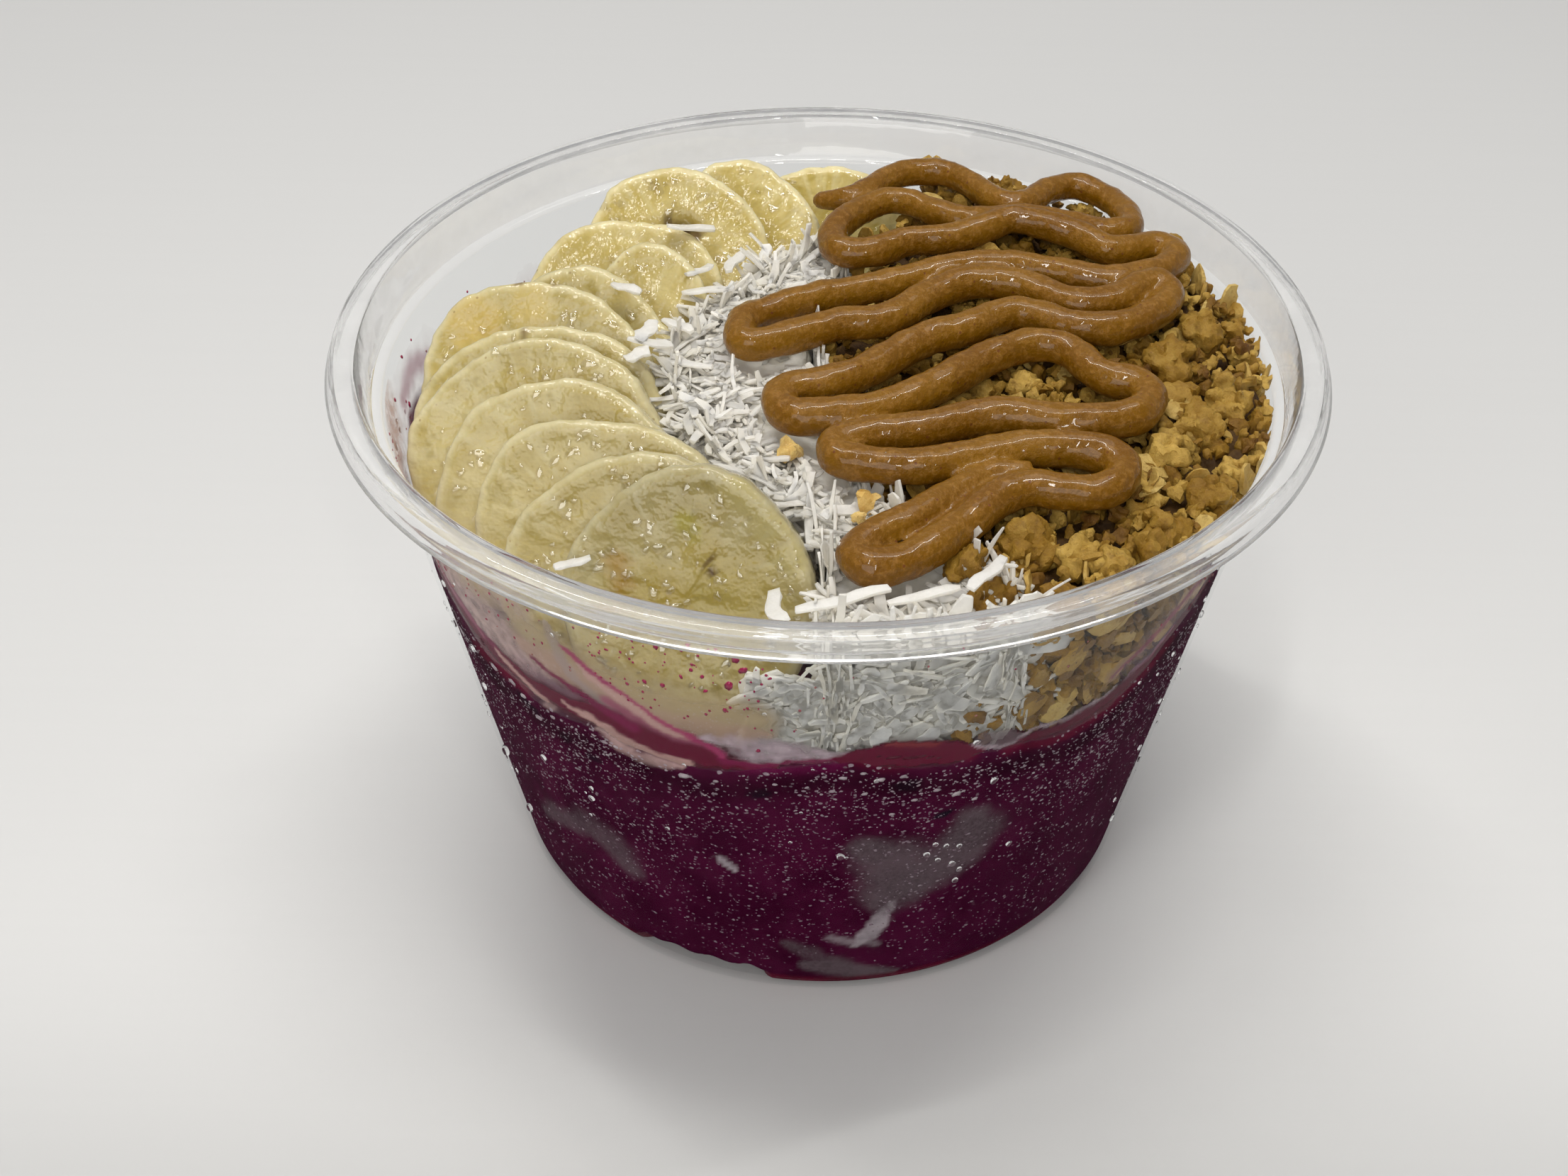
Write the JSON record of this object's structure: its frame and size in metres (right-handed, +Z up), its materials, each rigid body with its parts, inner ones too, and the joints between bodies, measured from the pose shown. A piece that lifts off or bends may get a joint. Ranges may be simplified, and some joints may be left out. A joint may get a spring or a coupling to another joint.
{
  "type": "acai bowl",
  "caption": "Clear plastic tub of purple acai topped with a fan of banana slices, shredded coconut, granola clusters and a zigzag of peanut butter.",
  "frame": {"origin": "centre of the tub's flat base, where it rests", "axes": "+Z up along the tub's axis; -Y towards the side where the coconut band meets the wall; +X towards the granola, -X towards the banana fan"},
  "size_m": [0.117, 0.117, 0.072],
  "materials": {
    "clear_plastic": "clear, glossy",
    "acai": "satin, frosty",
    "banana": "moist, satin",
    "coconut": "matt, slightly translucent",
    "granola": "matt, rough",
    "peanut_butter": "glossy"
  },
  "bodies": {
    "root": {"bowl": "clear_plastic", "acai": "acai", "banana_slice_01": "banana", "banana_slice_02": "banana", "banana_slice_03": "banana", "banana_slice_04": "banana", "banana_slice_05": "banana", "banana_slice_06": "banana", "banana_slice_07": "banana", "banana_slice_08": "banana", "banana_slice_09": "banana", "banana_slice_10": "banana", "banana_slice_11": "banana", "banana_slice_12": "banana", "banana_slice_13": "banana", "coconut": "coconut", "granola": "granola", "peanut_butter": "peanut_butter"}
  },
  "joints": []
}
